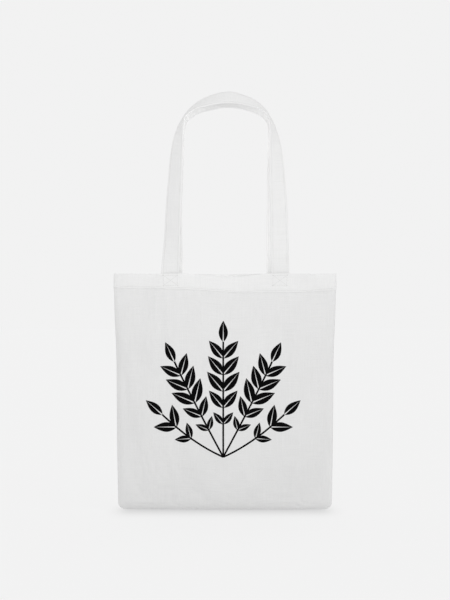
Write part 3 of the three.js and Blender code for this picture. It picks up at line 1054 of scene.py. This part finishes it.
# %% Grow the spray and lay it on the cloth
PRINT_DROP = 0.196  # from the mouth edge to the middle of the print
PRINT_ACROSS = -0.003
INK_LIFT = 0.00016
INK_THICKNESS = 0.00008
STEM_POINTS = 24
SPRAY_BASE = (0, -0.116)
STEMS = [  # where each stem bends and ends, to the right of the spray's middle
    {"bend": (0, 0), "tip": (0, 0.080)},
    {"bend": (0.040, -0.042), "tip": (0.084, 0.046)},
    {"bend": (0.050, -0.094), "tip": (0.104, -0.044)},
]


def stem_line(bend, tip):
    """Points along a stem that leaves the spray's base, bends once and ends at its tip."""
    t = np.linspace(0, 1, STEM_POINTS)[:, None]
    base, bend, tip = (np.array([*place, 0]) for place in (SPRAY_BASE, bend, tip))
    return base * (1 - t) ** 2 + 2 * bend * t * (1 - t) + tip * t**2


def spray():
    """The flat drawing: a stem in the middle, and the others on both sides of it."""
    right = [stem_line(**stem) for stem in STEMS]
    lines = right + [line * (-1, 1, 1) for line in right[1:]]
    firsts = [n for n in range(STEM_POINTS * len(lines)) if (n + 1) % STEM_POINTS]
    drawing = new_object("front_print", np.concatenate(lines), [], [(n, n + 1) for n in firsts])
    return grow(drawing, sprigs, {"Material": finishes["print_ink"]})


def lay_on_cloth(film):
    """Bends a flat drawing onto the front panel and gives it a thin body."""
    flat = np.array([vertex.co[:] for vertex in film.data.vertices])
    across, drop = flat[:, 0] + PRINT_ACROSS, PRINT_DROP - flat[:, 1]
    points, _ = on_cloth("front", across, drop, INK_LIFT)
    film.data.vertices.foreach_set("co", points.astype(np.float32).ravel())
    film.data.update()
    lay_out(film, across, -drop)
    body = film.modifiers.new("film", "SOLIDIFY")
    body.thickness = INK_THICKNESS
    return film, np.ptp(flat, axis=0)


ink, print_size = lay_on_cloth(spray())
print("print of", len(ink.data.polygons), "faces,", print_size.round(3), "in size")

# %% [markdown]
# ## The floor
#
# The bag hangs with its bottom edge just over a pale floor. A plain floor under studio lights shows a
# horizon and a wide shadow. So this one is built like a light table: most of its brightness is its own
# glow, and it runs into a background of the same grey. The narrow shadow under the bag is a dip in that
# glow, as long as the bottom edge and soft at its ends.

# %% Lay the floor
FLOOR_GAP = 0.002
FLOOR_RADIUS = 12.0
FLOOR_CORNERS = 64
FLOOR_PAINT, FLOOR_GLOW = 0.20, 0.715
# the dark line under the bag is a painted shadow, a dip in the floor's glow
CONTACT_DEPTH = 0.22  # how much of the glow is lost under the bag
CONTACT_REACH = 0.040  # how far from the bottom edge the floor is darker
CONTACT_LENGTH = 0.160  # half the length of the dark line
CONTACT_ENDS = 1.75  # its ends fade this much faster than its front


def floor_glow(make):
    """How brightly the floor glows from place to place, with a painted shadow: less glow along a line under
    the bag.
    """
    across = make("ShaderNodeSeparateXYZ", {0: make("ShaderNodeTexCoord", output="Object")})
    away = across.node.outputs["Y"]
    past_end = make.math("SUBTRACT", make.math("ABSOLUTE", across), CONTACT_LENGTH)
    beside = make.math("MULTIPLY", make.math("MAXIMUM", past_end, 0), CONTACT_ENDS)
    square = make.math("ADD", make.math("MULTIPLY", beside, beside), make.math("MULTIPLY", away, away))
    fading = make.math("EXPONENT", make.math("DIVIDE", square, -CONTACT_REACH ** 2))
    painted_shadow = make.math("MULTIPLY", fading, CONTACT_DEPTH)
    return make.math("MULTIPLY", make.math("SUBTRACT", 1, painted_shadow), FLOOR_GLOW)


def floor_finish():
    """A matt floor that makes most of its own brightness."""
    material, shader, make = new_material("floor", roughness=1.0, sheen=0.0)
    shader.inputs["Base Color"].default_value = (FLOOR_PAINT, FLOOR_PAINT, FLOOR_PAINT, 1)
    shader.inputs["Emission Color"].default_value = (1, 1, 1, 1)
    shader.inputs["Specular IOR Level"].default_value = 0
    make.feed(shader.inputs["Emission Strength"], floor_glow(make))
    return material


floor_height = cad_low.z - FLOOR_GAP
turns = np.linspace(0, 2 * math.pi, FLOOR_CORNERS, endpoint=False)
rim = FLOOR_RADIUS * np.stack([np.cos(turns), np.sin(turns)], axis=1)
floor = new_object("floor", np.insert(rim, 2, floor_height, axis=1), [tuple(range(FLOOR_CORNERS))])
floor.data.materials.append(floor_finish())
print("floor at", round(floor_height, 4))

# %% [markdown]
# ## The light
#
# The studio is bright, with soft light from every side and a little more from the front and the right.
# The soft boxes stand a little below the handles' crest, so that the front strap throws a thin shadow on
# the inside of the back one. Thin cotton also lets light through, and a mesh does not, so the bag's
# inside and the gaps between its handles would be too dark. Shaders could pass light through the cloth,
# but they are slow and noisy. Weak lamps in those places do the same. No lamp is seen by the camera, and
# the floor ignores them.

# %% Set out the lights
BACKDROP = 0.887  # as bright as the picture's background
AMBIENT = 0.775
SUNS = [  # broad soft suns: which way each shines, its strength and its breadth in degrees
    dict(name="skylight", way=(0, 0, -1), power=0.25, breadth=80),
    dict(name="side_light", way=(-1, 0.4, -0.3), power=0.30, breadth=50),
]
LAMPS = [  # they light the bag alone: where each stands, which way it shines, its power and its size
    dict(name="front_box", place=(-0.01, -0.66, -0.06), way=(0, 1, -0.2), power=0.80, size=(0.2, 0.14)),
    dict(name="back_box", place=(-0.01, 0.66, -0.06), way=(0, -1, -0.2), power=0.80, size=(0.2, 0.14)),
    dict(name="left_card", place=(-0.15, -0.06, 0), way=(1, 0.5, -0.4), power=0.004, size=(0.05, 0.05)),
    dict(name="left_shoulder", place=(-0.030, 0, -0.06), way=(-1, 0, 0.3), power=0.0055, size=(0.03, 0.03)),
    dict(name="right_shoulder", place=(0.036, 0, -0.06), way=(1, 0, 0.3), power=0.0055, size=(0.03, 0.03)),
    dict(name="mouth", place=(0.01, -0.002, -0.312), way=(0, 0.5, 1), power=0.0035, size=(0.11, 0.004)),
    dict(name="left_foot", place=(-0.067, 0, -0.281), way=(-0.4, 1, 0), power=0.0003, size=(0.01, 0.02)),
]
for side, facing in SIDES.items():  # inside the bag and between its handles, towards both sides
    way = (0, facing, 0)
    LAMPS += [
        dict(name=f"inside_{side}", place=(0, 0, -0.485), way=way, power=0.08, size=(0.36, 0.36)),
        dict(name=f"left_gap_{side}", place=(-0.073, 0, -0.19), way=way, power=0.0011, size=(0.012, 0.19)),
        dict(name=f"right_gap_{side}", place=(0.073, 0, -0.19), way=way, power=0.0024, size=(0.012, 0.19)),
    ]
print("lights", [light["name"] for light in SUNS + LAMPS])


# %% Light the studio
def light_world():
    """A world that lights the bag softly and shows a flat grey behind it."""
    world = bpy.data.worlds.new("studio")
    world.use_nodes = True
    make = NodeMaker(world.node_tree)
    light = make("ShaderNodeBackground", {"Color": (AMBIENT, AMBIENT, AMBIENT, 1)})
    seen = make("ShaderNodeBackground", {"Color": (BACKDROP, BACKDROP, BACKDROP, 1)})
    straight_look = make("ShaderNodeLightPath", output="Is Camera Ray")
    mixed = make("ShaderNodeMixShader", {0: straight_look, 1: light, 2: seen})
    make.feed(world.node_tree.nodes["World Output"].inputs["Surface"], mixed)
    bpy.context.scene.world = world


def new_light(name, kind, power, place, way):
    """A light that stands at a place and shines one way."""
    data = bpy.data.lights.new(name, kind)
    data.energy = power
    light = bpy.data.objects.new(name, data)
    light.location = place
    light.rotation_euler = Vector(way).to_track_quat("-Z", "Y").to_euler()
    light.visible_camera = False
    bpy.context.scene.collection.objects.link(light)
    return light


light_world()
all_but_floor = bpy.data.collections.new("all_but_floor")
all_but_floor.objects.link(floor)
all_but_floor.collection_objects[0].light_linking.link_state = "EXCLUDE"
for sun in SUNS:
    light = new_light(sun["name"], "SUN", sun["power"], (0, 0, 1), sun["way"])
    light.data.angle = math.radians(sun["breadth"])
for lamp in LAMPS:
    light = new_light(lamp["name"], "AREA", lamp["power"], lamp["place"], lamp["way"])
    light.data.shape = "RECTANGLE"
    light.data.size, light.data.size_y = lamp["size"]
    light.light_linking.receiver_collection = all_but_floor
bpy.context.scene.view_settings.view_transform = "Standard"
print("studio of", len(SUNS) + len(LAMPS), "lights")

# %% [markdown]
# ## Tying the pieces to the model
#
# The bag has one body, so every piece rides on it. The panels and straps stand for their solids.

for side in SIDES:
    hem_thread, strap_thread = stitches[side]
    slots = {panels[side]: "panel_cloth", hems[side]: "panel_cloth", handles[side]: "handle_cloth",
             hem_thread: "sewing_thread", strap_thread: "sewing_thread"}
    for piece, slot in slots.items():
        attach(piece, "root")
    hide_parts(f"{side}_panel")
    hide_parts(f"{side}_handle")
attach(ink, "root")
for side in SIDES:
    hem_thread, strap_thread = stitches[side]
